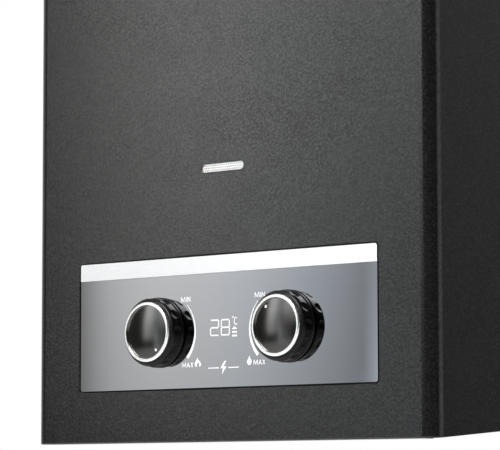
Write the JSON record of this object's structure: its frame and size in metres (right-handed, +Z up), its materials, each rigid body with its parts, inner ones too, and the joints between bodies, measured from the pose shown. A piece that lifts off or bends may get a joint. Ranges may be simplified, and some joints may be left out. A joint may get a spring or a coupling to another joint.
{
  "type": "portable gas water heater",
  "caption": "Wall-hung portable gas water heater with a black steel case, mirror control panel, two knobs, flame window, flue cap, folding handle and pipe stubs.",
  "frame": {"origin": "centre of the hanging hole, on the wall face of the back plate", "axes": "+Z up, +Y into the wall, +X to the right as seen from the front"},
  "size_m": [0.2964, 0.1463, 0.482],
  "materials": {
    "black_powder_coat": "fine sandy powder coat",
    "black_screws": "black oxide",
    "handle_steel": "black coated rod",
    "grip_rubber": "moulded rubber",
    "spring_steel": "spring steel",
    "smoked_mirror": "smoked mirror glass",
    "bright_trim": "polished bright trim",
    "black_plastic": "moulded black plastic",
    "zinc_steel": "zinc plated",
    "circuit_board": "solder mask",
    "display_black": "display module",
    "knob_black": "gloss moulded black",
    "knob_ring_chrome": "bright chrome, fine knurl",
    "knob_face_black": "gloss black with soft sheen",
    "steel_shaft": "turned steel",
    "stainless_mesh": "perforated stainless sheet",
    "copper": "copper",
    "galvanised_sheet": "galvanised sheet",
    "stainless_burner": "heat-tinted stainless",
    "cast_aluminium": "die cast",
    "brass": "machined brass",
    "diaphragm_rubber": "rubber sheet",
    "red_plastic": "moulded red plastic",
    "ceramic_white": "glazed ceramic",
    "switch_bakelite": "moulded brown plastic",
    "cell_jacket": "printed steel can",
    "wire_silicone": "silicone insulation"
  },
  "bodies": {
    "case": {"front_cover": "black_powder_coat", "back_plate": "black_powder_coat", "top_plate": "black_powder_coat", "bottom_plate": "black_powder_coat", "flue_cap": "black_powder_coat", "m4_screws": "black_screws", "handle_brackets": "black_powder_coat", "panel_glass": "smoked_mirror", "trim_strip": "bright_trim", "panel_carrier": "black_plastic", "panel_nuts": "zinc_steel", "control_board": "circuit_board", "display_module": "display_black", "flame_window_mesh": "stainless_mesh", "exchanger_shell": "copper", "exchanger_fins": "copper", "exchanger_tube": "copper", "coil_tube": "copper", "draft_hood": "galvanised_sheet", "burner_frame": "zinc_steel", "burner_bars": "stainless_burner", "gas_manifold": "cast_aluminium", "gas_jets": "brass", "gas_valve_body": "cast_aluminium", "gas_solenoid": "zinc_steel", "gas_inlet_stub": "brass", "water_valve_body": "brass", "diaphragm_cover": "zinc_steel", "diaphragm": "diaphragm_rubber", "microswitch": "black_plastic", "cold_inlet_stub": "brass", "inlet_filter": "brass", "cold_pipe": "copper", "hot_pipe": "copper", "hot_outlet_stub": "brass", "stub_locknuts": "brass", "drain_tap_body": "brass", "igniter_box": "black_plastic", "ignition_electrodes": "ceramic_white", "overheat_switch": "switch_bakelite", "battery_box": "black_plastic", "batteries": "cell_jacket", "battery_contacts": "spring_steel", "wiring": "wire_silicone"},
    "gas_knob": {"gas_knob_body": "knob_black", "gas_knob_ring": "knob_ring_chrome", "gas_knob_face": "knob_face_black", "gas_spindle": "steel_shaft"},
    "water_knob": {"water_knob_body": "knob_black", "water_knob_ring": "knob_ring_chrome", "water_knob_face": "knob_face_black", "water_spindle": "steel_shaft"},
    "carry_handle": {"carry_handle": "handle_steel", "handle_grip": "grip_rubber", "handle_clips": "spring_steel"},
    "battery_lid": {"battery_lid": "black_plastic"},
    "push_rod": {"push_rod": "zinc_steel"},
    "switch_lever": {"microswitch_lever": "steel_shaft"},
    "solenoid_plunger": {"solenoid_plunger": "steel_shaft"},
    "drain_lever": {"drain_tap_lever": "red_plastic"}
  },
  "joints": [
    {"name": "gas_knob_turn", "type": "hinge", "parent": "case", "child": "gas_knob", "pos_m": [-0.04735, -0.135, -0.3975], "axis": [0, -1, 0], "range_deg": [0, 110]},
    {"name": "water_knob_turn", "type": "hinge", "parent": "case", "child": "water_knob", "pos_m": [0.04735, -0.135, -0.3975], "axis": [0, -1, 0], "range_deg": [0, 110]},
    {"name": "handle_fold", "type": "hinge", "parent": "case", "child": "carry_handle", "pos_m": [0, -0.024, -0.0107], "axis": [-1, 0, 0], "range_deg": [0, 90]},
    {"name": "battery_lid_hinge", "type": "hinge", "parent": "case", "child": "battery_lid", "pos_m": [0, -0.0105, -0.429], "axis": [1, 0, 0], "range_deg": [0, 95]},
    {"name": "push_rod_stroke", "type": "slide", "parent": "case", "child": "push_rod", "axis": [-1, 0, 0], "range_m": [0, 0.004], "stiffness_N_per_m": 200, "springref_m": -0.002},
    {"name": "switch_lever_turn", "type": "hinge", "parent": "case", "child": "switch_lever", "pos_m": [-0.0007, -0.082, -0.4125], "axis": [0, -1, 0], "range_deg": [0, 16.47]},
    {"name": "solenoid_stroke", "type": "slide", "parent": "case", "child": "solenoid_plunger", "axis": [-1, 0, 0], "range_m": [0, 0.003], "stiffness_N_per_m": 200, "springref_m": -0.002},
    {"name": "drain_tap_turn", "type": "hinge", "parent": "case", "child": "drain_lever", "pos_m": [0.038, -0.103, -0.438], "axis": [0, 0, 1], "range_deg": [0, 90]}
  ],
  "couplings": [
    {"joint": "switch_lever_turn", "follows": "push_rod_stroke", "rad_per_m": 71.429}
  ]
}
